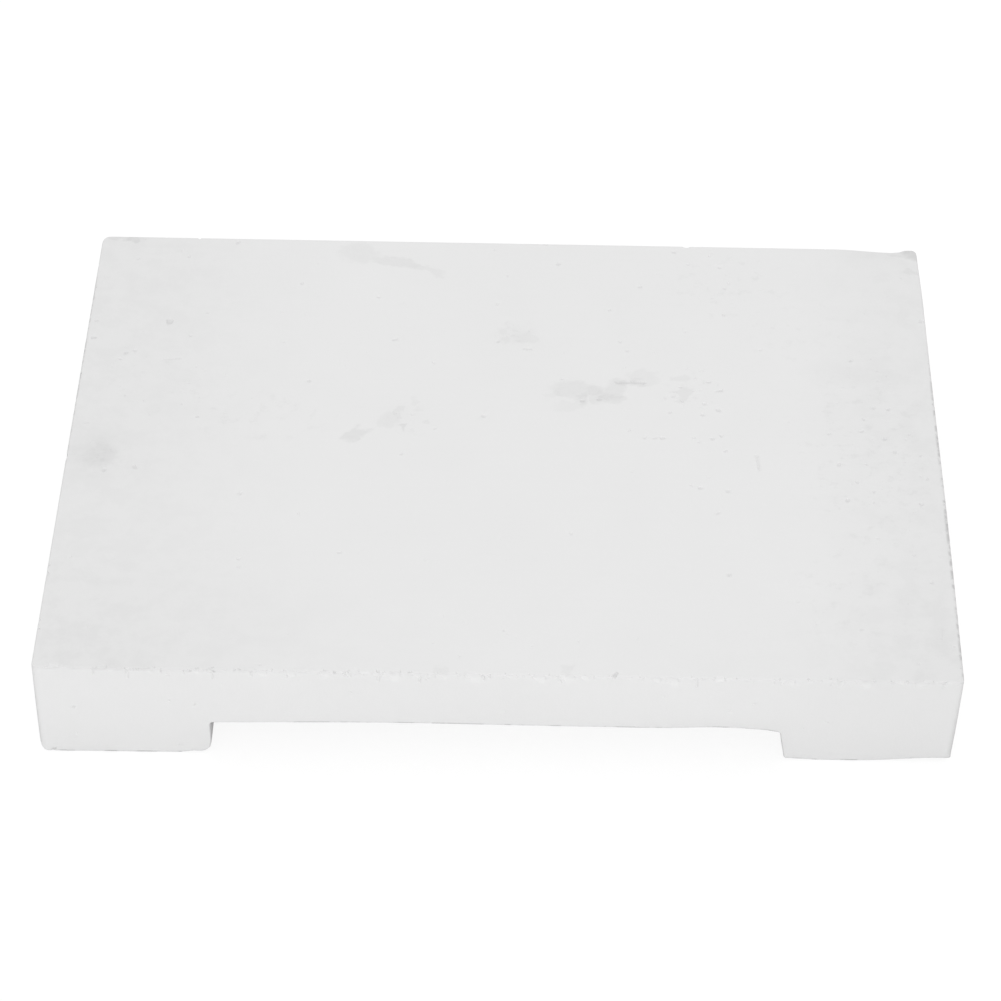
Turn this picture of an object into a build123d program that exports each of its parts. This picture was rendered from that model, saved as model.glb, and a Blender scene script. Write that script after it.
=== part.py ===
"""Jeweller's soldering board: one cast refractory slab that stands on two moulded-in feet.

The board is cast in an open mould with its feet down, so its walls lean in towards the feet and
the channel between the feet opens towards the floor. X runs along the long side, Y from front to
back, Z up, and the origin is on the floor under the middle of the board.
"""

import os
from math import radians, tan

from build123d import *

# Driving sizes, in millimetres. The plan is measured at the top face.
top_length = 203.2
top_depth = 152.4
board_height = 25.4

# The channel under the board, measured at the floor, which leaves a foot along each short side.
channel_width = 127.0
channel_height = 9.5
channel_crown = 0.4

# How far the walls lean, in degrees from upright, and how far in the outer walls are by the floor.
wall_draft = 0.8
left_channel_draft = 1.0
right_channel_draft = 7.2
wall_lean = board_height * tan(radians(wall_draft))

# Rounds: the channel's inner corners, the feet's long edges, and the thin arrises.
roof_round = 0.6
outer_foot_round = 1.5
left_inner_round = 3.2
right_inner_round = 0.8
end_arris = 0.5
top_arris = 0.5

# How far the side section runs past the board's ends, so that it trims only the front and back.
trim_over = 2.0


def front_section():
    """The board seen from the front: leaning walls, two rounded feet, and the crowned channel."""
    half_top = top_length / 2
    half_floor = half_top - wall_lean
    half_mouth = channel_width / 2
    left_roof = channel_height * tan(radians(left_channel_draft)) - half_mouth
    right_roof = half_mouth - channel_height * tan(radians(right_channel_draft))

    roof_left, roof_right = (left_roof, channel_height), (right_roof, channel_height)
    crown = ((left_roof + right_roof) / 2, channel_height + channel_crown)
    left_wall, right_wall = (-half_top, board_height), (half_top, board_height)
    left_foot = Polyline(left_wall, (-half_floor, 0), (-half_mouth, 0), roof_left)
    right_foot = Polyline(roof_right, (half_mouth, 0), (half_floor, 0), right_wall)
    roof = ThreePointArc(roof_left, crown, roof_right)
    struck_top = Line(right_wall, left_wall)
    section = make_face([*left_foot.edges(), *roof.edges(), *right_foot.edges(), *struck_top.edges()])

    roof_corners = section.vertices().group_by(Axis.Y)[1]
    section = fillet(roof_corners, roof_round)
    foot_rounds = {0: outer_foot_round, 1: left_inner_round, -2: right_inner_round, -1: outer_foot_round}
    for place, size in foot_rounds.items():
        section = fillet(floor_corners(section)[place], size)
    return section


def floor_corners(section):
    """The front section's corners that touch the floor, from left to right."""
    return section.vertices().group_by(Axis.Y)[0].sort_by(Axis.X)


def side_section():
    """The board seen from its right end: a plain block whose front and back walls lean in."""
    half_top = top_depth / 2
    half_floor = half_top - wall_lean
    outline = [(-half_floor, 0), (half_floor, 0), (half_top, board_height), (-half_top, board_height)]
    return make_face(Polyline(*outline, close=True).edges())


def soldering_board():
    """The whole board: where its two sections cross, with the arrises eased."""
    lengthways = extrude(Plane.XZ * front_section(), amount=top_depth / 2, both=True)
    crossways = extrude(Plane.YZ * side_section(), amount=top_length / 2 + trim_over, both=True)
    board = lengthways & crossways
    for end in (0, -1):
        end_wall = board.faces().sort_by(Axis.Y)[end]
        edges_below_top = end_wall.edges().sort_by(Axis.Z)[:-1]
        board = fillet(edges_below_top, end_arris)
    top_face = board.faces().sort_by(Axis.Z)[-1]
    return fillet(top_face.edges(), top_arris)


os.makedirs("parts", exist_ok=True)
board = soldering_board()
export_step(board, "parts/soldering_board.step")
print("soldering_board", board.bounding_box().size, "volume", round(board.volume), "mm3")
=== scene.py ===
# %% [markdown]
# A cast soldering board, finished in Blender.
#
# The real thing is one slab of white refractory. It is poured into a mould with its feet down, its
# top is struck off flat with a board, and later it is knocked about on a bench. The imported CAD
# model gives its true form and size, and this lesson gives it the skin of the real one: burst
# bubbles, chipped arrises, trowel streaks, soot and a chalky finish.

# %% Load the frame
from math import cos, radians, sin

import bmesh
import bpy
import numpy as np
from mathutils import Matrix, Vector
from mathutils.bvhtree import BVHTree


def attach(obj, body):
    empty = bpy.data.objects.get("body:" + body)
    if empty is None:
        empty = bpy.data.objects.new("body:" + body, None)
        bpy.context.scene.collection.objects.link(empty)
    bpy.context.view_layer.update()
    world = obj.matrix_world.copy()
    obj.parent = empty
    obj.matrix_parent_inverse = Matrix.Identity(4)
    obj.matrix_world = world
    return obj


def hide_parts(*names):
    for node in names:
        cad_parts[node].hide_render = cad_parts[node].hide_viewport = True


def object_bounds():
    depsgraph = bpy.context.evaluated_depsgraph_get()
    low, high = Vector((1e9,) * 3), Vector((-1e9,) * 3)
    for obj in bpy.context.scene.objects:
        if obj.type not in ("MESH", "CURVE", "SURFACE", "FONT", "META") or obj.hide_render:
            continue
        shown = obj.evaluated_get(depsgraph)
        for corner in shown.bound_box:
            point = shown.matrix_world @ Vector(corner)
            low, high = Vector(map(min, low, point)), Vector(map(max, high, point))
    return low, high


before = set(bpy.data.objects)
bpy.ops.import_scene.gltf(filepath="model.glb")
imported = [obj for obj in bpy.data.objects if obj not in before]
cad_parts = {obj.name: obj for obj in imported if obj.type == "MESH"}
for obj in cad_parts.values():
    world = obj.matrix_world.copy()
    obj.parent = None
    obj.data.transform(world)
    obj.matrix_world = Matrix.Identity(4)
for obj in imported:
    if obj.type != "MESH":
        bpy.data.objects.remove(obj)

cad_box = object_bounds()
MM = 0.001
low, high = (np.array(corner) / MM for corner in cad_box)
half_length, half_depth, height = high[0], high[1], high[2]
print("the board measures", (high - low).round(2), "mm")

# %% [markdown]
# Node trees are easier to read as formulas. The class Wire stands for one output socket, and adding
# or multiplying wires adds Math nodes. The class Graph stands for a tree, and its one method, node,
# makes any other node: its settings come first, because they decide which sockets it has. The same
# two classes serve the materials and the Geometry Nodes.

# %% A shorthand for nodes
class Wire:
    """One output socket, which Python's arithmetic can use."""

    def __init__(self, graph, socket):
        self.graph, self.socket = graph, socket

    def __getitem__(self, name):
        """Another output of the same node."""
        return Wire(self.graph, pick(self.socket.node.outputs, name))

    def __add__(self, other):
        return self.graph.math("ADD", self, other)

    def __sub__(self, other):
        return self.graph.math("SUBTRACT", self, other)

    def __rsub__(self, other):
        return self.graph.math("SUBTRACT", other, self)

    def __mul__(self, other):
        return self.graph.math("MULTIPLY", self, other)

    def __truediv__(self, other):
        return self.graph.math("DIVIDE", self, other)

    def __pow__(self, other):
        return self.graph.math("POWER", self, other)

    __radd__, __rmul__ = __add__, __mul__


class Graph:
    """A node tree that is written as formulas."""

    def __init__(self, tree):
        self.tree = tree

    def node(self, kind, settings=None, sockets=None):
        """Adds a node, sets its settings, then sets or links its input sockets."""
        made = self.tree.nodes.new(kind)
        for name, value in (settings or {}).items():
            setattr(made, name, value)
        for name, value in (sockets or {}).items():
            socket = pick(made.inputs, name)
            wires = value if isinstance(value, list) else [value]
            for wire in wires:
                if isinstance(wire, Wire):
                    self.tree.links.new(wire.socket, socket)
                else:
                    socket.default_value = wire
        return Wire(self, pick(made.outputs, 0)) if len(made.outputs) else made

    def math(self, operation, first, second=0.0):
        return self.node("ShaderNodeMath", {"operation": operation}, {0: first, 1: second})


def pick(sockets, name):
    """The socket in use with that name, or the one at that place."""
    in_use = [s for s in sockets if s.enabled]
    return in_use[name] if isinstance(name, int) else next(s for s in in_use if s.name == name)


print("Wire and Graph are ready")

# %% [markdown]
# The blank has to follow the CAD form exactly, and it needs small faces where the form turns. A
# voxel remesh would spend its faces evenly and blur the arrises. So the blank starts as a block of
# quads whose lines crowd together at the arrises and run down the channel's walls, and every corner
# then slides to the nearest point of the CAD surface.

# %% Measure the CAD model's underside
cad_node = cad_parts["soldering_board"]
cad_skin = BVHTree.FromPolygons([v.co / MM for v in cad_node.data.vertices],
                                [p.vertices for p in cad_node.data.polygons])
up, far_below = Vector((0, 0, 1)), -10.0
scan_step, end_margin = 0.02, 1.0
floor_level, roof_margin, foot_middle = 0.05, 0.7, 80.0


def underside(px):
    """The height of the board's underside at px, half way from front to back."""
    inner = max(min(px, half_length - end_margin), end_margin - half_length)
    return cad_skin.ray_cast(Vector((inner, 0, far_below)), up)[0].z


between_ends = np.arange(end_margin - half_length, half_length - end_margin, scan_step)
scan_x = np.concatenate([[-half_length], between_ends, [half_length]])
scan_z = np.array([underside(px) for px in scan_x])
walked = np.concatenate([[0], np.cumsum(np.hypot(np.diff(scan_x), np.diff(scan_z)))])
off_floor = np.flatnonzero((np.abs(scan_x) < foot_middle) & (scan_z > floor_level))
under_roof = np.flatnonzero(scan_z > scan_z.max() - roof_margin)
left_foot_edge, right_foot_edge = scan_x[off_floor[0]], scan_x[off_floor[-1]]
print("the channel runs from", left_foot_edge.round(2), "to", right_foot_edge.round(2),
      "and is", scan_z.max().round(2), "high")

# %% Lay out the block's lines
fine_step, coarse_step, growth = 0.3, 2.0, 1.35
even_passes, ends_start, ends_full = 80, 85.0, 95.0


def ease(value, start, end):
    """A smooth step from 0 at start to 1 at end."""
    share = np.clip((value - start) / (end - start), 0, 1)
    return share * share * (3 - 2 * share)


def graded(start, end):
    """Stations from start to end, crowded at both ends and wide apart in the middle."""
    reach, stations, step = (end - start) / 2, [0.0], fine_step
    while stations[-1] + step < reach:
        stations.append(stations[-1] + step)
        step = min(step * growth, coarse_step)
    rising = np.array(stations)
    return np.concatenate([start + rising, end - rising[::-1]])


def joined(*breaks):
    """Graded stations that are crowded at every break."""
    runs = [graded(a, b) for a, b in zip(breaks, breaks[1:])]
    return np.concatenate([runs[0]] + [run[1:] for run in runs[1:]])


turns = [off_floor[0], under_roof[0], under_roof[-1], off_floor[-1]]
columns = joined(0, *walked[turns], walked[-1])
sole_x, sole_z = np.interp(columns, walked, scan_x), np.interp(columns, walked, scan_z)
even_x = sole_x.copy()
for _ in range(even_passes):
    even_x[1:-1] = (even_x[:-2] + 2 * even_x[1:-1] + even_x[2:]) / 4
top_x = even_x + (sole_x - even_x) * ease(np.abs(sole_x), ends_start, ends_full)
rows = joined(-half_depth, half_depth)
levels = joined(0, height) / height
print(len(columns), "columns,", len(rows), "rows and", len(levels), "levels")

# %% Make the block and slide it onto the CAD surface


def block_skin(counts):
    """The outside of a block of cells: its lattice points, and its quads that point outwards."""
    points, quads = {}, []
    for axis in range(3):
        u, v = (axis + 1) % 3, (axis + 2) % 3
        for end in (0, counts[axis]):
            for a in range(counts[u]):
                for b in range(counts[v]):
                    ring = [(a, b), (a + 1, b), (a + 1, b + 1), (a, b + 1)]
                    quad = []
                    for p, q in ring if end else reversed(ring):
                        place = [0, 0, 0]
                        place[axis], place[u], place[v] = end, p, q
                        quad.append(points.setdefault(tuple(place), len(points)))
                    quads.append(quad)
    return list(points), quads


places, quads = block_skin((len(columns) - 1, len(rows) - 1, len(levels) - 1))
blank, above_sole = [], []
for i, j, k in places:
    px = sole_x[i] + (top_x[i] - sole_x[i]) * levels[k]
    pz = sole_z[i] + (height - sole_z[i]) * levels[k]
    blank.append(cad_skin.find_nearest(Vector((px, rows[j], pz)))[0])
    above_sole.append(levels[k] * (height - sole_z[i]))
blank, above_sole = np.array(blank), np.array(above_sole)
print("the blank has", len(blank), "corners and", len(quads), "quads")

# %% [markdown]
# No cast board is as true as its drawing. This one is thicker at its left end, its mould stood a
# little out of square, its upright corners are worn round, the channel's roof waves and sags beside
# the right foot, the toes are worn off the floor, the front edge is rubbed back, and the back edge dips
# before the right corner. A brush could sculpt all this, but a formula can be read and changed later,
# so plain NumPy moves the blank's corners.

# %% Round the upright corners


def rounded(across, down, radius):
    """How far to pull points of a corner in, so that it has that radius."""
    reach = np.hypot(across, down)
    in_corner = (across > 0) & (down > 0) & (reach > radius)
    return np.where(in_corner, radius / np.maximum(reach, radius), 1)


wall_lean = 0.35
# Which way each corner points along x and y, and its radius.
worn_corners = {
    "back left": (-1, 1, 2.8), "back right": (1, 1, 2.0), "front left": (-1, -1, 1.5),
    "front right": (1, -1, 1.3)}

x, y, z = blank.T
share_up = z / height
plan_x = half_length - wall_lean * (1 - share_up)
plan_y = half_depth - wall_lean * (1 - share_up)
for side_x, side_y, radius in worn_corners.values():
    out_x, out_y = side_x * x - plan_x + radius, side_y * y - plan_y + radius
    pull = rounded(out_x, out_y, radius)
    x, y = x + side_x * out_x * (pull - 1), y + side_y * out_y * (pull - 1)
print(len(worn_corners), "upright corners are rounded")

# %% Round the left toe and square the other edges
foot_round, left_toe_round, thin_round = 1.5, 2.6, 0.5
right_toe_square, inner_square = 0.75, 0.8
front_square, front_square_end = 0.65, (92, 97)
channel_slope, channel_side, channel_share = 0.126, 2, 0.35
tiny = 0.01  # keeps squared from dividing by nothing


def squared(across, down, share):
    """How far to push points of a round out, by that share of the way to a square corner."""
    furthest = np.maximum(np.maximum(across, down), tiny)
    stretch = np.hypot(across, down) / furthest
    return np.where((across > 0) & (down > 0), 1 + share * (stretch - 1), 1)


# The left toe is rounder than drawn.
toe_x, toe_z = left_toe_round - half_length + wall_lean, left_toe_round
over_x, under_z = toe_x - x, toe_z - z
pull = rounded(over_x, under_z, left_toe_round)
x, z = toe_x - over_x * pull, toe_z - under_z * pull

# The right toe is squarer.
toe_x = half_length - wall_lean - foot_round
over_x, under_z = x - toe_x, foot_round - z
push = squared(over_x, under_z, right_toe_square)
x, z = toe_x + over_x * push, foot_round - under_z * push

# So is the right foot's upright corner in the mouth of the channel.
inner_x, inner_y = right_foot_edge - channel_slope * z + thin_round, thin_round - plan_y
over_x, over_y = inner_x - x, inner_y - y
beside_channel = (x > right_foot_edge - channel_side) & (share_up < channel_share)
push = np.where(beside_channel, squared(over_x, over_y, inner_square), 1)
x, y = inner_x - over_x * push, inner_y - over_y * push

# The front top arris is squarer too, but for its right end.
front_y, under_top = thin_round - plan_y, height - thin_round
over_y, over_z = front_y - y, z - under_top
push = squared(over_y, over_z, front_square * (1 - ease(x, *front_square_end)))
y, z = front_y - over_y * push, under_top + over_z * push
print("the left toe has a radius of", left_toe_round, "mm, and three other edges are squarer")

# %% Make the form hand-made
left_height, right_height = 26.1, 24.5
out_of_square, right_lean, back_skew = 0.5, 0.3, 0.3
right_swell, swell_at, swell_reach = 0.2, -25, 60
right_tuck, tuck_from = 0.3, 55
# The middle, the reach and the rise of each wave.
roof_waves = {"high left half": (-26, 45, 0.38), "high spot": (49, 13, 0.6), "sag": (63, 4.5, -0.55)}
roof_climb, lower_half = (1, 8), 0.5
right_toe_wear, right_toe_span = 1.05, (80, 98)
inner_toe_wear, inner_toe_span = 0.5, (63, 72)
left_heel_wear, left_heel_at, left_heel_reach = 0.5, -67.2, 4
toe_depth, toe_share = 9.0, 0.25
dip_depth, dip_width, dip_share = 0.8, 4.0, 0.75
dip_fall, dip_climb = (81, 95.5), (96.5, 99)
front_setback, setback_curve, setback_depth = 0.8, (0.3, 1.7), 12


def hump(value, centre, reach):
    """A smooth bump that is 1 at the centre and 0 beyond its reach."""
    return 1 - ease(np.abs(value - centre), 0, reach)


def top_at(px):
    """The height of the hand-made top, which slopes from left to right."""
    return left_height + (right_height - left_height) * (px + half_length) / (2 * half_length)


on_roof = (x > left_foot_edge) * (x < right_foot_edge) * ease(z, *roof_climb) * (share_up < lower_half)
z = z * top_at(x) / height
for centre, reach, rise in roof_waves.values():
    z = z + rise * hump(x, centre, reach) * on_roof
worn = right_toe_wear * ease(x, *right_toe_span)
worn = worn + inner_toe_wear * (1 - ease(x, *inner_toe_span)) * (x > 0)
worn = worn + left_heel_wear * hump(x, left_heel_at, left_heel_reach)
z = z + worn * (1 - ease(y + half_depth, 0, toe_depth)) * (1 - ease(share_up, 0, toe_share))
dip = ease(x, *dip_fall) * (1 - ease(x, *dip_climb))
z = z - dip_depth * dip * ease(y, half_depth - dip_width, half_depth) * ease(share_up, dip_share, 1)
in_feet = ease(np.abs(x), right_foot_edge, half_length)
in_right_foot = ease(x, right_foot_edge, half_length)
right_side = right_swell * hump(y, swell_at, swell_reach) - right_tuck * ease(y, tuck_from, half_depth)
x = x - out_of_square * (1 - share_up) * in_feet
x = x + (right_side - right_lean * (1 - share_up)) * in_right_foot
y = y - back_skew * x / half_length * ease(y, 0, half_depth)
square_y = y
# The setback's curve has come half way at the top, so it counts twice.
setback = 2 * front_setback * ease(share_up, *setback_curve)
y = y + setback * (1 - ease(y + half_depth, 0, setback_depth))
formed = np.stack([x, y, z], axis=1)
print("the form moved by up to", np.abs(formed - blank).max().round(2), "mm")

# %% Put the form in the scene


def put(name, data):
    """A new object with that data, in the scene."""
    made = bpy.data.objects.new(name, data)
    bpy.context.scene.collection.objects.link(made)
    return made


board_mesh = bpy.data.meshes.new("cast_board")
board_mesh.from_pydata((formed * MM).tolist(), [], quads)
board = put("cast_board", board_mesh)
print(board.name, "has", len(board_mesh.polygons), "faces before it is carved")

# %% [markdown]
# Everything small on this skin is a lump that is missing or left over: a burst bubble, a chip, a
# crumb. One recipe for a Geometry Nodes tree serves them all. The tree scatters points where an
# attribute says, adds the listed points, gives each a lumpy ball of its own size and turn, and cuts
# the balls out of the skin or joins them to it. Cutting gives crisp rims, which displacement on so
# few faces could not.

# %% Make points and lumps in a tree
SOCKETS = {float: "NodeSocketFloat", int: "NodeSocketInt", str: "NodeSocketString"}


def geometry_tree(name, inputs):
    """A new Geometry Nodes tree with those named inputs, and the wires from its input node."""
    tree = bpy.data.node_groups.new(name, "GeometryNodeTree")
    tree.interface.new_socket("Skin", in_out="INPUT", socket_type="NodeSocketGeometry")
    for label, kind in inputs.items():
        tree.interface.new_socket(label, in_out="INPUT", socket_type=SOCKETS.get(kind, kind))
    tree.interface.new_socket("Skin", in_out="OUTPUT", socket_type="NodeSocketGeometry")
    graph = Graph(tree)
    return graph, graph.node("NodeGroupInput")


def lump_points(graph, given):
    """Scattered points and placed points, each with its own size."""
    share = graph.node("GeometryNodeInputNamedAttribute", {"data_type": "FLOAT"}, {"Name": given["Where"]})
    spots = graph.node("GeometryNodeDistributePointsOnFaces", {"distribute_method": "POISSON"}, {
        "Mesh": given["Skin"], "Distance Min": given["Spacing"], "Density Max": given["Per square metre"],
        "Density Factor": share, "Seed": given["Seed"]})
    chance = graph.node("FunctionNodeRandomValue", {"data_type": "FLOAT"}, {"Seed": given["Seed"] + 1})
    size = given["Smallest"] + (given["Largest"] - given["Smallest"]) * chance ** given["Rarity"]
    scattered = graph.node("GeometryNodeStoreNamedAttribute", {"data_type": "FLOAT", "domain": "POINT"}, {
        "Geometry": spots, "Name": "size", "Value": size})
    marks = graph.node("GeometryNodeObjectInfo", None, {"Object": given["Placed"]})["Geometry"]
    placed = graph.node("GeometryNodeMeshToPoints", None, {"Mesh": marks})
    return graph.node("GeometryNodeJoinGeometry", None, {"Geometry": [scattered, placed]})


def lump_ball(graph, given):
    """A ball of radius 1 with a lumpy surface."""
    ball = graph.node("GeometryNodeMeshIcoSphere", None, {"Radius": 1.0, "Subdivisions": 2})
    lumpy = graph.node("ShaderNodeTexNoise", {"normalize": False}, {"Scale": 1.7, "Detail": 2.0})["Fac"]
    outward = graph.node("ShaderNodeVectorMath", {"operation": "SCALE"}, {
        0: graph.node("GeometryNodeInputNormal"), "Scale": lumpy * given["Roughness"]})
    return graph.node("GeometryNodeSetPosition", None, {"Geometry": ball, "Offset": outward})


print("geometry_tree, lump_points and lump_ball are ready")

# %% Build the lump tree


def lump_tree(name, operation):
    """Scatters lumps over a skin and cuts them out of it, or joins them to it."""
    graph, given = geometry_tree(name, {
        "Where": str, "Per square metre": float, "Spacing": float, "Smallest": float, "Largest": float,
        "Rarity": float, "Drag": float, "Spin": float, "Flatness": float, "Lift": float, "Roughness": float,
        "Seed": int, "Placed": "NodeSocketObject", "Finish": "NodeSocketMaterial"})
    skin, spots = given["Skin"], lump_points(graph, given)
    size = graph.node("GeometryNodeInputNamedAttribute", {"data_type": "FLOAT"}, {"Name": "size"})
    normal = graph.node("GeometryNodeSampleNearestSurface", {"data_type": "FLOAT_VECTOR"}, {
        "Mesh": skin, "Value": graph.node("GeometryNodeInputNormal")})
    lift = graph.node("ShaderNodeVectorMath", {"operation": "SCALE"}, {
        0: normal, "Scale": size * given["Lift"]})
    spots = graph.node("GeometryNodeSetPosition", None, {"Geometry": spots, "Offset": lift})

    angle = graph.node("FunctionNodeRandomValue", {"data_type": "FLOAT"}, {
        "Min": -1.0, "Max": 1.0, "Seed": given["Seed"] + 2})
    spin = graph.node("ShaderNodeCombineXYZ", None, {"Z": angle * given["Spin"]})
    turn = graph.node("FunctionNodeAlignRotationToVector", {"axis": "Z"}, {
        "Rotation": spin, "Vector": normal})
    stretch = graph.node("FunctionNodeRandomValue", {"data_type": "FLOAT"}, {
        "Min": 0.8, "Max": given["Drag"], "Seed": given["Seed"] + 3})
    scale = graph.node("ShaderNodeCombineXYZ", None, {
        "X": size * stretch, "Y": size / stretch, "Z": size * given["Flatness"]})
    lumps = graph.node("GeometryNodeInstanceOnPoints", None, {
        "Points": spots, "Instance": lump_ball(graph, given), "Rotation": turn, "Scale": scale})

    meshes = {0: skin, 1: lumps} if operation == "DIFFERENCE" else {0: [skin, lumps]}
    worked = graph.node("GeometryNodeMeshBoolean", {"operation": operation, "solver": "MANIFOLD"}, meshes)
    whole = graph.node("GeometryNodeRealizeInstances", None, {"Geometry": worked})
    whole = graph.node("GeometryNodeSetMaterial", None, {"Geometry": whole, "Material": given["Finish"]})
    graph.node("NodeGroupOutput", None, {"Skin": whole})
    return graph.tree


cutting, sticking = lump_tree("cut_lumps", "DIFFERENCE"), lump_tree("stick_lumps", "UNION")
print("the cutting tree has", len(cutting.nodes), "nodes, and the sticking tree", len(sticking.nodes))

# %% Run a tree on the board
finish = bpy.data.materials.new("cast_refractory")
lump_spacing = 0.5


def set_values(mesh, name, values):
    """Stores one number for each corner of a mesh."""
    attribute = mesh.attributes.new(name, "FLOAT", "POINT")
    attribute.data.foreach_set("value", np.asarray(values, np.float32))


def point_object(name, spots):
    """A helper whose corners are the placed lumps: x, y, z and radius of each, in millimetres."""
    spots = np.array(spots, float).reshape(-1, 4) * MM
    mesh = bpy.data.meshes.new(name)
    mesh.from_pydata(spots[:, :3].tolist(), [], [])
    set_values(mesh, "size", spots[:, 3])
    return put(name, mesh)


def work_lumps(piece, tree, where, placed, per_square_cm, sizes, inputs):
    """Runs a lump tree on the piece and keeps a plain mesh. Sizes are in millimetres."""
    helper = point_object("placed_" + where, placed)
    inputs = {"Where": where, "Per square metre": per_square_cm * 1e4, "Spacing": lump_spacing * MM,
              "Smallest": sizes[0] * MM, "Largest": sizes[1] * MM, "Placed": helper,
              "Finish": finish} | inputs
    modifier = piece.modifiers.new(tree.name, "NODES")
    modifier.node_group = tree
    sockets = {s.name: s.identifier for s in tree.interface.items_tree if s.in_out == "INPUT"}
    for label, value in inputs.items():
        modifier[sockets[label]] = value
    before = len(piece.data.vertices)
    evaluated = piece.evaluated_get(bpy.context.evaluated_depsgraph_get())
    mesh = bpy.data.meshes.new_from_object(evaluated)
    piece.modifiers.remove(modifier)
    piece.data = mesh
    bpy.data.objects.remove(helper)
    print(where, "took the skin from", before, "to", len(mesh.vertices), "corners")


print("lumps of one run lie at least", lump_spacing, "mm apart")

# %% [markdown]
# Air in the wet mix comes up under the trowel and bursts, so the struck top has far more pits than
# the moulded walls. They gather in fields, thick towards the two ends and round the old scuff in the
# middle. Each field is an ellipse with its own share of the greatest density. Pits too fine to cut are
# left to the finish as specks, which have fields of their own.

# %% Say where the bubbles burst
# The middle of each field in x and y, its half sizes, and its share.
bubble_fields = {
    "left end": (-76, 22, 30, 26, 0.10),
    "right end": (88, -2, 17, 48, 0.26),
    "back, right of the middle": (50, 60, 15, 17, 0.18),
    "scuff": (44, 20, 9, 11, 0.7),
    "rough patch": (2, 40, 7, 6, 0.6),
    "pale patch": (-23, 9, 7, 7, 0.5),
    "left smudge": (-94, -5, 7, 7, 0.4),
    "front": (5, -63, 40, 10, 0.10),
}
speck_fields = {
    "left end": (-82, 21, 17, 16, 0.8),
    "left, towards the middle": (-58, 9, 20, 12, 0.9),
    "right end": (84, -2, 20, 46, 0.9),
    "right front": (80, -48, 20, 24, 0.7),
    "back, right of the middle": (54, 60, 20, 18, 0.8),
    "back right": (72, 42, 18, 16, 0.6),
    "scuff": (44, 20, 9, 11, 1.0),
    "rough patch": (2, 40, 7, 6, 1.0),
    "pale patch": (-23, 9, 7, 7, 1.0),
    "left smudge": (-94, -5, 9, 9, 0.9),
}
top_share, wall_share, under_share = 0.022, 0.02, 0.03
field_fade, top_fade, walls_from = (0.4, 1.1), (0.98, 0.995), 0.4


def spread(fields):
    """What the fields give to each corner of the blank."""
    total = np.zeros(len(formed))
    for centre_x, centre_y, half_x, half_y, share in fields.values():
        away = np.hypot((x - centre_x) / half_x, (y - centre_y) / half_y)
        total = np.maximum(total, share * (1 - ease(away, *field_fade)))
    return total


on_top = ease(share_up, *top_fade)
off_top = np.where(share_up < walls_from, under_share, wall_share)
set_values(board_mesh, "bubbles", np.where(on_top > 0.5, top_share + spread(bubble_fields), off_top))
set_values(board_mesh, "specks", on_top * spread(speck_fields))
print(len(bubble_fields), "fields of bubbles and", len(speck_fields), "of specks")

# %% Place the pits and gouges that stand out
# The place of each pit in x and y, and its radius.
top_pits = [
    (-82.3, 43.7, 1.35), (-79.3, 68.6, 0.7), (-91.3, 30.9, 0.85), (-99.7, 36.8, 0.9), (-74.1, 26.5, 0.5),
    (-72.3, 8.2, 0.6), (-58.8, -40.2, 0.6), (27.4, 38.2, 0.6), (29.0, 34.8, 0.7), (43.3, 42.4, 0.5),
    (54.0, 61.4, 0.5), (18.3, 16.3, 0.8), (22.3, 16.8, 0.9), (29.2, 5.8, 0.6), (33.0, 3.7, 0.75),
    (35.4, 3.4, 0.6), (37.3, 3.5, 0.8), (44.6, 3.7, 0.7), (45.5, 2.3, 0.6), (48.6, 3.4, 0.85),
    (50.7, 4.5, 0.8), (51.8, -0.8, 0.7), (47.4, -10.0, 0.4), (43.4, -12.9, 0.5), (45.6, -13.9, 0.8),
    (46.8, 11.9, 0.9), (47.3, 15.9, 0.7), (41.9, 16.5, 0.6), (-54.9, 47.6, 0.4), (-72.9, 46.8, 0.45),
    (-45.7, -75.0, 0.5), (-43.9, -75.9, 0.5), (-41.5, -75.2, 0.6), (-17.6, -75.2, 0.5),
    (-98.4, -75.4, 0.5), (-95.8, -75.2, 0.9), (-94.3, -75.6, 0.5),
]
# Where each gouge starts and ends in x and y, and its radius.
top_gouges = {
    "dash in the scuff": (26.4, 23.1, 33.2, 23.2, 0.64),
    "dash under the rough patch": (4.4, 35.1, 6.0, 35.1, 0.55),
    "nick beside the chain of pits": (58.9, -2.2, 59.4, -7.0, 0.6),
    "dash at the left end": (-82.0, 28.9, -78.0, 29.4, 0.4),
    "tick at the right end": (98.0, -58.8, 97.6, -62.0, 0.24),
    "front edge, far left": (-85.0, -75.4, -82.4, -75.6, 0.45),
    "front edge, left of the middle": (-36.0, -75.4, -33.0, -75.6, 0.4),
    "front edge, beside it": (-30.6, -75.2, -27.8, -75.5, 0.45),
    "front edge, middle": (-6.4, -75.3, -4.4, -75.3, 0.5),
    "front edge, right": (48.2, -75.7, 51.0, -75.5, 0.45),
    "front edge, far right": (78.6, -75.3, 81.2, -75.5, 0.4),
}
print(len(top_pits), "pits and", len(top_gouges), "gouges in the top")

# %% Place the nicks and spalls of the front wall
# The place of each nick along the front edge, with its length and its radius.
wall_nicks = {
    -88.0: (1.8, 0.35), -80.5: (2.6, 0.3), -62.0: (2.4, 0.35), -53.5: (1.4, 0.4), -45.8: (1.6, 0.45),
    -32.0: (1.2, 0.4), -25.8: (2.2, 0.35), -16.9: (2.4, 0.45), -3.0: (1.4, 0.45), 13.7: (1.8, 0.5),
    43.5: (2.4, 0.4), 60.5: (1.0, 0.35), 79.5: (1.0, 0.45),
}
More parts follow.
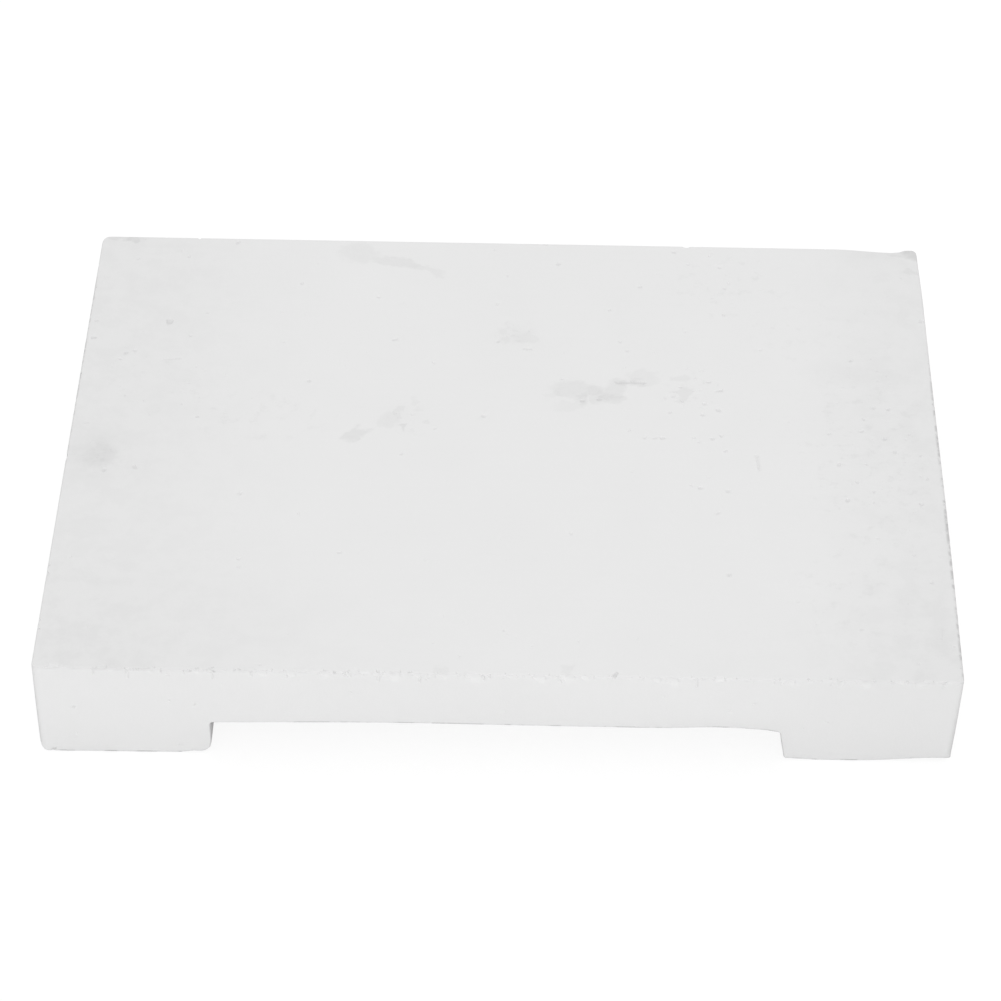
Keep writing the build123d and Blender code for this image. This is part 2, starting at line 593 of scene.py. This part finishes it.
# The place of each spall along the front edge, and its radius.
spalls = {
    -84.0: 1.2, -76.0: 0.9, -65.5: 0.9, -62.0: 1.2, -51.0: 1.3, -45.0: 1.5, -37.3: 1.4, -26.4: 1.2,
    -22.5: 2.2, -17.2: 1.3, -11.4: 1.0, -5.0: 2.4, 3.1: 0.9, 9.6: 1.7, 15.1: 2.2, 19.2: 1.2, 29.0: 0.8,
    34.7: 1.3, 38.4: 1.7, 48.3: 1.5, 64.0: 1.5, 79.7: 2.0, 88.0: 1.0,
}
# The place of each pit in x and z, and its radius.
wall_pits = [(72.6, 12.2, 0.4), (-93.1, 14.1, 0.7), (-66.3, 15.2, 0.6), (1.7, 14.5, 0.3)]
print(len(wall_nicks), "nicks,", len(spalls), "spalls and", len(wall_pits), "pits in the front wall")

# %% Set the placed lumps on the skin
gouge_overlap, gouge_wander, gouge_sizes = 0.6, 0.12, (0.8, 1.1)
spall_drop = 0.3
chance = np.random.default_rng(seed=3)
skin_before = BVHTree.FromPolygons([Vector(corner) for corner in formed], quads)


def trail(start, end, radius):
    """Uneven lumps in a row on the skin: x, y, z and radius of each."""
    start, end = np.array(start, float), np.array(end, float)
    count = int(np.linalg.norm(end - start) / (radius * gouge_overlap)) + 1
    spots = []
    for share in np.linspace(0, 1, count):
        spot = start + (end - start) * share + chance.normal(0, gouge_wander * radius, 3)
        spots.append((*skin_before.find_nearest(Vector(spot))[0], radius * chance.uniform(*gouge_sizes)))
    return spots


placed_pits, placed_nicks, placed_spalls = [], [], []
for px, py, radius in top_pits:
    placed_pits += trail((px, py, top_at(px)), (px, py, top_at(px)), radius)
for from_x, from_y, to_x, to_y, radius in top_gouges.values():
    placed_pits += trail((from_x, from_y, top_at(from_x)), (to_x, to_y, top_at(to_x)), radius)
for px, pz, radius in wall_pits:
    placed_pits += trail((px, -half_depth, pz), (px, -half_depth, pz), radius)
for px, (long, radius) in wall_nicks.items():
    placed_nicks += trail((px, -half_depth, top_at(px)), (px, -half_depth, top_at(px) - long), radius)
for px, radius in spalls.items():
    spall_z = top_at(px) - spall_drop * radius
    placed_spalls += trail((px, -half_depth, spall_z), (px, -half_depth, spall_z), radius)
print(len(placed_pits), "placed pits,", len(placed_nicks), "lumps in the nicks and",
      len(placed_spalls), "spalls")

# %% [markdown]
# The arrises are the weakest part of a chalky board. The front top edge is the worst, because the
# struck face leaves a thin fin there that breaks away in nicks and crumbs. The chips are rougher
# lumps than the bubbles, and they only catch the corner.

# %% Say where the arrises are chipped
arris_fade, front_margin = (0.25, 0.7), 1
front_edge_share, crumb_shares = 0.9, (0.93, 0.995)
worst_at, worst_reach, least_run = -22, 75, 0.5
other_share, other_contact_shadow = 0.1, 0.45
sole_fade, sole_depth, channel_reach = (0.15, 0.6), (0.9, 1.8), 5

side_gap, end_gap = half_length - np.abs(x), half_depth - np.abs(square_y)
top_gap, under_gap = (1 - share_up) * height, np.where(share_up < lower_half, z, height)
edge_gaps = np.sort(np.stack([side_gap, end_gap, top_gap, under_gap]), axis=0)
on_arris = 1 - ease(edge_gaps[1], *arris_fade)
at_front = square_y < front_margin - half_depth
front_edge = at_front & (share_up > front_edge_share)
front_run = least_run + (1 - least_run) * hump(x, worst_at, worst_reach)
set_values(board_mesh, "chips", on_arris * np.where(front_edge, front_run, other_share))
crumb_band = front_edge & (share_up > crumb_shares[0]) & (share_up < crumb_shares[1])
set_values(board_mesh, "crumbs", np.where(crumb_band, front_run, 0))
# The sole_edge attribute says where the finish paints contact shadow along the feet's lower edges: fully at
# the front, less elsewhere, and none in the channel's walls.
in_channel_wall = np.maximum(hump(x, left_foot_edge, channel_reach), hump(x, right_foot_edge, channel_reach))
on_sole_edge = (1 - ease(above_sole, *sole_fade)) * (1 - ease(np.minimum(side_gap, end_gap), *sole_depth))
contact_shadow_share = (1 - in_channel_wall) * np.where(at_front, 1, other_contact_shadow)
set_values(board_mesh, "sole_edge", on_sole_edge * contact_shadow_share)
print(int((on_arris > 0.5).sum()), "corners of the blank lie on an arris")

# %% Carve the board
work_lumps(board, sticking, "crumbs", [], per_square_cm=16, sizes=(0.18, 0.42), inputs={
    "Rarity": 1.5, "Drag": 1.4, "Spin": 3.1, "Flatness": 0.7, "Lift": -0.1, "Roughness": 0.6, "Seed": 5})
work_lumps(board, cutting, "bubbles", [], per_square_cm=16, sizes=(0.25, 1.0), inputs={
    "Rarity": 2.5, "Drag": 1.3, "Spin": 3.1, "Flatness": 0.42, "Lift": 0.2, "Roughness": 0.4, "Seed": 7})
work_lumps(board, cutting, "bubbles", placed_pits, per_square_cm=0, sizes=(0, 0), inputs={
    "Rarity": 1.0, "Drag": 1.2, "Spin": 3.1, "Flatness": 0.42, "Lift": 0.16, "Roughness": 0.4, "Seed": 11})
work_lumps(board, cutting, "chips", placed_spalls, per_square_cm=10, sizes=(0.8, 1.8), inputs={
    "Rarity": 1.5, "Drag": 1.4, "Spin": 1.0, "Flatness": 0.24, "Lift": 0.06, "Roughness": 0.7, "Seed": 41})
work_lumps(board, cutting, "chips", placed_nicks, per_square_cm=40, sizes=(0.3, 1.1), inputs={
    "Rarity": 1.7, "Drag": 1.6, "Spin": 3.1, "Flatness": 0.66, "Lift": 0.2, "Roughness": 0.8, "Seed": 21})
work_lumps(board, cutting, "chips", [], per_square_cm=160, sizes=(0.14, 0.45), inputs={
    "Spacing": 0.3 * MM, "Rarity": 1.5, "Drag": 2.0, "Spin": 3.1, "Flatness": 0.6, "Lift": 0.1,
    "Roughness": 0.8, "Seed": 31})

# %% [markdown]
# Cutting leaves a few crumbs that hang in the air, and they are dropped. Dust settles in the pits, so
# the finish needs to know how deep each point lies under the skin that the mould and the trowel left.
# That is measured once, from the uncarved form, and kept as an attribute. Chips on an arris are fresher
# and hold less dust, so they count for less. Edges that turn sharply stay crisp, and all else is shaded
# smooth.

# %% Drop the loose crumbs


def islands(bm):
    """The mesh's corners in groups that hang together, the largest group last."""
    unseen, groups = set(bm.verts), []
    while unseen:
        to_visit = [unseen.pop()]
        group = list(to_visit)
        while to_visit:
            here = to_visit.pop()
            for edge in here.link_edges:
                there = edge.other_vert(here)
                if there in unseen:
                    unseen.remove(there)
                    to_visit.append(there)
                    group.append(there)
        groups.append(group)
    return sorted(groups, key=len)


bm = bmesh.new()
bm.from_mesh(board.data)
bmesh.ops.triangulate(bm, faces=bm.faces[:])
loose = islands(bm)[:-1]
bmesh.ops.delete(bm, geom=[corner for group in loose for corner in group], context="VERTS")
open_edges = sum(not edge.is_manifold for edge in bm.edges)
bm.to_mesh(board.data)
bm.free()
print("dropped", len(loose), "loose crumbs;", open_edges, "open edges")

# %% Measure the pits
fresh_share, fresh_gap, fresh_drop = 0.3, (0.4, 1.2), (2.0, 4.0)
faces_up, crisp_angle = 0.5, radians(28)
depths = []
for corner in board.data.vertices:
    here = corner.co / MM
    spot, outward, _, distance = skin_before.find_nearest(here)
    inside = (here - spot).dot(outward) < 0
    front_gap, back_gap = here.y + half_depth - front_setback, half_depth - here.y
    arris_gap = min(half_length - abs(here.x), front_gap, back_gap)
    if outward.z > faces_up:
        dusty = fresh_share + (1 - fresh_share) * ease(arris_gap, *fresh_gap)
    else:
        dusty = ease(top_at(here.x) - here.z, *fresh_drop)
    depths.append(distance * dusty if inside else 0.0)
set_values(board.data, "pit_depth", depths)
board.data.shade_smooth()
board.data.set_sharp_from_angle(angle=crisp_angle)
print(len(board.data.polygons), "triangles; the deepest pit is", round(max(depths), 2), "mm")

# %% [markdown]
# The finish is chalky white, and what shows is how it has been used, together with painted shade.
# Soot, dirt and painted shade are one mask: old smudges at their own places, painted shade at the
# back right corner, towards both ends and the front corners of the top, along its left and right
# edges, on the walls towards the floor and the ends, and as contact shadow along the feet's lower
# edges, dust in the pits, and a faint clouding of the mix. One colour mix then turns clean
# refractory into sooty or shaded refractory by that mask.

# %% Start the finish
top_rim = (-0.9, -0.4)


def emptied(owner):
    """The node tree of a material or a world, with nothing in it yet."""
    owner.use_nodes = True
    owner.node_tree.nodes.clear()
    return Graph(owner.node_tree)


shade = emptied(finish)
metres = shade.node("ShaderNodeTexCoord")["Object"]
place = shade.node("ShaderNodeVectorMath", {"operation": "SCALE"}, {0: metres, "Scale": 1 / MM})
axes = shade.node("ShaderNodeSeparateXYZ", None, {"Vector": place})
along, deep, tall = axes["X"], axes["Y"], axes["Z"]


def noise(vector, scale, detail, roughness=0.5):
    """Noise from 0 to 1 with that many waves in a millimetre."""
    return shade.node("ShaderNodeTexNoise", None, {
        "Vector": vector, "Scale": scale, "Detail": detail, "Roughness": roughness})["Fac"]


def step(value, start, end):
    """A smooth step from 0 at start to 1 at end."""
    return shade.node("ShaderNodeMapRange", {"interpolation_type": "SMOOTHSTEP"}, {
        "Value": value, "From Min": start, "From Max": end})


top_level = top_at(0.0) + (top_at(1.0) - top_at(0.0)) * along
below_top = tall - top_level
top_mask = step(below_top, *top_rim)
print("the finish reads places in millimetres")

# %% List the stains, the hazes and the painted shade at the back right corner
# The middle of each in x and y, its half length and half width, its turn in degrees, and its strength.
stains_and_shade = {
    "scuff, left haze": (16.4, 20.6, 7.4, 4.2, 0, 0.07),
    "scuff, left wisp": (11.4, 18.6, 3.4, 2.2, 20, 0.035),
    "scuff, middle": (21.4, 20.2, 3.4, 2.6, 0, 0.04),
    "scuff, lower haze": (15.5, 14.0, 5.6, 2.2, 0, 0.035),
    "scuff, first spot": (18.2, 16.6, 2.5, 3.2, 0, 0.075),
    "scuff, second spot": (22.5, 17.4, 2.6, 3.8, 0, 0.075),
    "scuff, band": (25.6, 17.2, 3.4, 2.8, 0, 0.07),
    "scuff, strand": (26.2, 21.0, 5.4, 3.2, 65, 0.075),
    "soot along the dash": (29.8, 23.1, 5.0, 1.3, 0, 0.06),
    "haze over the dash": (32.6, 25.2, 4.6, 4.2, 0, 0.05),
    "hook, top": (41.8, 25.0, 3.6, 1.6, 0, 0.06),
    "hook, side": (42.4, 19.6, 4.6, 1.8, 80, 0.07),
    "back streak, blot": (-37.6, 71.6, 6.4, 5.2, -10, 0.055),
    "back streak, middle": (-28.3, 67.9, 7.6, 2.6, -14, 0.075),
    "back streak, tail": (-20.0, 65.0, 5.8, 1.7, -22, 0.06),
    "rough patch, left": (-0.2, 41.4, 1.8, 5.0, 0, 0.05),
    "rough patch, right": (4.9, 39.4, 4.3, 3.2, 0, 0.045),
    "small smudge": (-34.9, 2.9, 4.6, 2.8, 25, 0.095),
    "pale patch, left": (-27.4, 7.9, 3.2, 4.2, 0, 0.045),
    "pale patch, stroke": (-25.1, 10.8, 1.2, 3.0, 0, 0.06),
    "pale patch, spot": (-24.2, 5.6, 1.2, 1.3, 0, 0.12),
    "pale patch, right": (-21.1, 15.3, 1.8, 2.5, 0, 0.045),
    "pale patch, mark": (-18.2, 7.8, 1.4, 1.2, 20, 0.07),
    "left smudge, core": (-94.0, -6.0, 5.4, 5.6, 0, 0.045),
    # Painted shade where the worn back right corner tilts away from the light.
    "back right corner, painted shade": (101.6, 76.4, 5.5, 6.5, 0, 0.17),
    "back right corner, painted shade, tail": (96.6, 74.6, 2.6, 2.0, 0, 0.06),
    "right edge, mark": (99.6, 66.5, 2.4, 1.8, 0, 0.07),
    "right edge, speck": (96.9, 63.1, 1.0, 1.6, 0, 0.1),
    "back edge, left dash": (-93.6, 75.7, 2.6, 1.6, 0, 0.12),
    "back edge, left": (-97.2, 76.0, 4.5, 1.3, 0, 0.06),
    "front edge, left of the middle": (-12.6, -74.4, 2.0, 2.6, 0, 0.045),
    "front edge, right of the middle": (15.6, -73.6, 1.6, 3.4, -20, 0.05),
}
hazes = {
    "rough patch": (2.0, 40.0, 8.0, 6.0, 0, 0.02),
    "pale patch": (-24.0, 9.0, 9.0, 7.0, 0, 0.015),
    "left smudge": (-95.4, -3.4, 9.5, 12.0, 0, 0.052),
    "right end": (82.0, 28.0, 17.0, 6.5, 0, 0.03),
}
print(len(stains_and_shade), "stains and", len(hazes), "hazes")

# %% Lay the stains and the painted shade on the top
ragged_by, least_patch = 6.4, 0.5
stain_edge, haze_edge = (0.05, 0.45), (0.0, 0.8)
wander = shade.node("ShaderNodeTexNoise", None, {"Vector": place, "Scale": 0.32, "Detail": 6.0})["Color"]
wander = shade.node("ShaderNodeVectorMath", {"operation": "SUBTRACT"}, {0: wander, 1: (0.5, 0.5, 0.5)})
wander = shade.node("ShaderNodeVectorMath", {"operation": "SCALE"}, {0: wander, "Scale": ragged_by})
ragged = shade.node("ShaderNodeVectorMath", {"operation": "ADD"}, {0: place, 1: wander})


def blots(marks, start, end):
    """Ragged ellipses that fade in between those two shares of the way to their middles."""
    total = 0.0
    for centre_x, centre_y, half_long, half_wide, turn, strength in marks.values():
        local = shade.node("ShaderNodeMapping", {"vector_type": "TEXTURE"}, {
            "Vector": ragged, "Location": (centre_x, centre_y, height), "Rotation": (0, 0, radians(turn)),
            "Scale": (half_long, half_wide, half_long)})
        round_mark = shade.node("ShaderNodeTexGradient", {"gradient_type": "SPHERICAL"}, {"Vector": local})
        total = total + step(round_mark["Fac"], start, end) * strength
    return total


patchy = least_patch + noise(place, scale=0.6, detail=4.0, roughness=0.6)
# The stains, the hazes and the painted shade of the back right corner make one mask.
soot_and_shade = (blots(stains_and_shade, *stain_edge) + blots(hazes, *haze_edge)) * patchy * top_mask
print("the edges of the stains wander by up to", ragged_by / 2, "mm")

# %% Add the grime of hands
# The strength of each mark, then the axes it fades in along, from where to where.
# Painted shade that falls off towards both ends of the top and towards its front corners.
falloff_shade = {
    "left end": (0.056, (along, -38, -98)),
    "right end": (0.058, (along, 66, 99)),
    "front, left": (0.03, (deep, -32, -72), (along, 0, -60)),
    "front, right": (0.03, (deep, -32, -72), (along, 20, 90)),
}
# Painted shade along the top's left and right edges, where the arris turns down into the end walls.
painted_edge_shade = {
    "right": (0.34, (along, 100.8, 101.4), (deep, 40, 15)),
    "left": (0.26, (along, -100.9, -101.5), (deep, -20, 14), (deep, 70, 48)),
}
least_falloff_shade, mottled_falloff_shade = 0.7, 0.6
least_edge_shade, broken_edge_shade, edge_shade_band = 0.15, 0.85, (-1.6, -0.4)


def faded(marks):
    """The sum of marks, each a strength that fades in between two places on one or more axes."""
    total = 0.0
    for strength, *fades in marks.values():
        mark = strength
        for axis, start, end in fades:
            mark = step(axis, start, end) * mark
        total = total + mark
    return total


mottle = step(noise(place, scale=0.17, detail=5.0, roughness=0.65), 0.4, 0.64)
# The painted shade of the ends and front corners is mottled.
top_falloff_shade = faded(falloff_shade) * (least_falloff_shade + mottled_falloff_shade * mottle) * top_mask
broken = step(noise(place, scale=0.5, detail=3.0), 0.4, 0.6)
# The painted edge shade lies in broken stretches just under the top.
edge_shade = faded(painted_edge_shade) * step(below_top, *edge_shade_band) * (least_edge_shade + broken_edge_shade * broken)
print(len(falloff_shade), "falloffs of painted shade and", len(painted_edge_shade), "edges of painted shade")

# %% Add the painted shade and marks of the walls
lean_at_floor, contact_shadow_strength = wall_lean + out_of_square + right_lean, 0.6
# Where a point would be along the board if the right wall stood upright.
along_upright = along + (1 - tall / height) * lean_at_floor
# Painted shade towards the floor and towards both ends of the walls; darker strips down the front corners
# and a darker patch above the sag.
wall_shade_and_marks = {
    "by the floor": (0.018, (tall, 13, 0)),
    "right end": (0.062, (along, 40, 100)),
    "left end": (0.02, (along, -45, -100)),
    "front right corner": (0.12, (along_upright, 100.0, 101.4), (deep, -74, -75.3), (tall, 22, 6)),
    "front left corner": (0.1, (along, -100.9, -101.5), (deep, -74, -75.3), (tall, 23, 16)),
    "above the sag": (0.028, (along, 28, 42), (along, 66, 60), (tall, 14.5, 10)),
}


def stored(name):
    """The values of an attribute of the mesh."""
    return shade.node("ShaderNodeAttribute", {"attribute_name": name})["Fac"]


# Painted contact shadow in stretches along the feet's lower edges.
stretches = step(noise(place, scale=0.16, detail=3.0, roughness=0.6), 0.5, 0.6)
contact_shadow = stored("sole_edge") * stretches * contact_shadow_strength
on_walls = faded(wall_shade_and_marks) * (1 - top_mask) + contact_shadow
print(len(wall_shade_and_marks), "marks on the walls")

# %% Add dust, specks and clouding
dust_depth, dust_strength = 0.22, 0.1
speck_strength, cloud_strength, grain_strength = 0.075, 0.035, 0.02
streak_strength, streak_waves = 0.01, (0.03, 0.7, 0.7)
dust = step(stored("pit_depth"), 0.0, dust_depth) * dust_strength
specks = step(noise(place, scale=0.32, detail=5.0, roughness=0.65), 0.54, 0.7) * stored("specks")
clouding = noise(place, scale=0.06, detail=4.0) * cloud_strength
grain = noise(place, scale=2.2, detail=2.0) * grain_strength
streak_place = shade.node("ShaderNodeVectorMath", {"operation": "MULTIPLY"}, {0: place, 1: streak_waves})
streaks = noise(streak_place, scale=1.0, detail=3.0) * top_mask
# The mask holds soot, dust and wear together with painted shade.
use_and_shade = soot_and_shade + top_falloff_shade + edge_shade + on_walls
dirt_and_shade = use_and_shade + dust + specks * speck_strength + clouding + grain + streaks * streak_strength
print(len(finish.node_tree.nodes), "nodes make the mask of dirt")

# %% Finish the material
# The grey serves the soot and the painted shade alike.
clean_white, soot_and_shade_grey = (0.843, 0.843, 0.843, 1), (0.25, 0.25, 0.25, 1)
chalkiness, grain_chalkiness, streak_relief = 0.88, 4, 0.5
colour = shade.node("ShaderNodeMix", {"data_type": "RGBA"}, {
    "Factor": dirt_and_shade, "A": clean_white, "B": soot_and_shade_grey})
relief = noise(place, scale=1.6, detail=4.0, roughness=0.6) + streaks * streak_relief - specks
bump = shade.node("ShaderNodeBump", None, {"Height": relief, "Strength": 0.3, "Distance": 0.08 * MM})
surface = shade.node("ShaderNodeBsdfPrincipled", None, {
    "Base Color": colour, "Roughness": chalkiness + grain_chalkiness * grain, "Normal": bump,
    "Specular IOR Level": 0.2})
shade.node("ShaderNodeOutputMaterial", None, {"Surface": surface})
print(len(finish.node_tree.nodes), "nodes in the finish")

# %% [markdown]
# White on white shows only by its edges, so the board stands in a light tent, as a photographer would
# put it. The white table and an even sky light the top and the front wall alike, a low softbox in
# front helps the front wall, and the tent is dark at its left and right, which draws the board's
# ends. The table is drawn white for the camera, with some of the shadow left in.

# %% Lay the floor
floor_half, floor_drop = 4.0, -0.05 * MM
floor_corners = [(-floor_half, -floor_half), (floor_half, -floor_half), (floor_half, floor_half),
                 (-floor_half, floor_half)]
floor_mesh = bpy.data.meshes.new("floor")
floor_mesh.from_pydata([(px, py, floor_drop) for px, py in floor_corners], [], [(0, 1, 2, 3)])
floor = put("floor", floor_mesh)
print("the floor is", 2 * floor_half, "m wide")

# %% Paint the floor


def seen(graph):
    """1 for a ray from the camera, also by way of a mirror or glass, and 0 for other light."""
    rays = graph.node("ShaderNodeLightPath")
    return rays["Is Camera Ray"] + rays["Is Glossy Ray"] + rays["Is Transmission Ray"]


paint = bpy.data.materials.new("floor_paint")
floor_mesh.materials.append(paint)
table = emptied(paint)
thrown_back = table.node("ShaderNodeBsdfDiffuse", None, {"Color": (0.8, 0.8, 0.8, 1)})
shadowed = table.node("ShaderNodeBsdfDiffuse", None, {"Color": (0.14, 0.14, 0.14, 1)})
glow = table.node("ShaderNodeEmission", None, {"Color": (1, 1, 1, 1), "Strength": 0.89})
shown = table.node("ShaderNodeAddShader", None, {0: shadowed, 1: glow})
lit = table.node("ShaderNodeMixShader", None, {0: seen(table), 1: thrown_back, 2: shown})
from_below = table.node("ShaderNodeNewGeometry")["Backfacing"]
clear = table.node("ShaderNodeBsdfTransparent")
table.node("ShaderNodeOutputMaterial", None, {
    "Surface": table.node("ShaderNodeMixShader", None, {0: from_below, 1: lit, 2: clear})})
print(len(paint.node_tree.nodes), "nodes in the floor's paint")

# %% Light the table
sky_level, flag_level = 1.06, 0.37
world = bpy.data.worlds.new("studio")
bpy.context.scene.world = world
sky = emptied(world)
toward = sky.node("ShaderNodeSeparateXYZ", None, {"Vector": sky.node("ShaderNodeTexCoord")["Generated"]})
sideways = sky.node("ShaderNodeMapRange", {"interpolation_type": "SMOOTHSTEP"}, {
    "Value": sky.node("ShaderNodeMath", {"operation": "ABSOLUTE"}, {0: toward["X"]}),
    "From Min": 0.6, "From Max": 0.85})
tent = sky_level + (flag_level - sky_level) * sideways
backdrop = sky.node("ShaderNodeBackground", None, {
    "Color": (1, 1, 1, 1), "Strength": tent + (1.0 - tent) * seen(sky)})
sky.node("ShaderNodeOutputWorld", None, {"Surface": backdrop})


def softbox(name, spot, width, depth, watts):
    """A rectangular lamp that faces the board."""
    lamp = bpy.data.lights.new(name, "AREA")
    lamp.shape, lamp.size, lamp.size_y, lamp.energy = "RECTANGLE", width, depth, watts
    holder = put(name, lamp)
    facing = Vector(spot).to_track_quat("Z", "Y").to_matrix().to_4x4()
    holder.matrix_world = Matrix.Translation(spot) @ facing
    print(name, "at", spot)


softbox("front_softbox", spot=(-0.1, -1.45, 0.45), width=1.2, depth=0.6, watts=3.05)

# %% [markdown]
# The camera was found by matching the board's corners with those in the photograph: a long lens
# from in front, well above the board, and turned a little. The picture is square, so the lens
# follows from its focal length in pixels.

# %% Set the camera
picture_width, focal_pixels = 1001, 3489.2
aim = Vector((-0.35, -19.26, 25.4)) * MM
swing, rise, roll, distance = radians(1.354), radians(42.4), radians(-0.284), 799.9 * MM

lens = bpy.data.cameras.new("camera")
lens.lens = lens.sensor_width * focal_pixels / picture_width
lens.clip_start, lens.clip_end = 0.01, 50
camera = put("camera", lens)
back = Vector((sin(swing) * cos(rise), -cos(swing) * cos(rise), sin(rise)))
level = back.to_track_quat("Z", "Y").to_matrix().to_4x4()
camera.matrix_world = Matrix.Translation(aim + back * distance) @ level @ Matrix.Rotation(roll, 4, "Z")
bpy.context.scene.camera = camera
bpy.context.scene.view_settings.view_transform = "Standard"
print("a", round(lens.lens, 1), "mm lens")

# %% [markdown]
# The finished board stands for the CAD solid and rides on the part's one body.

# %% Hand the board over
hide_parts("soldering_board")
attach(board, "root")
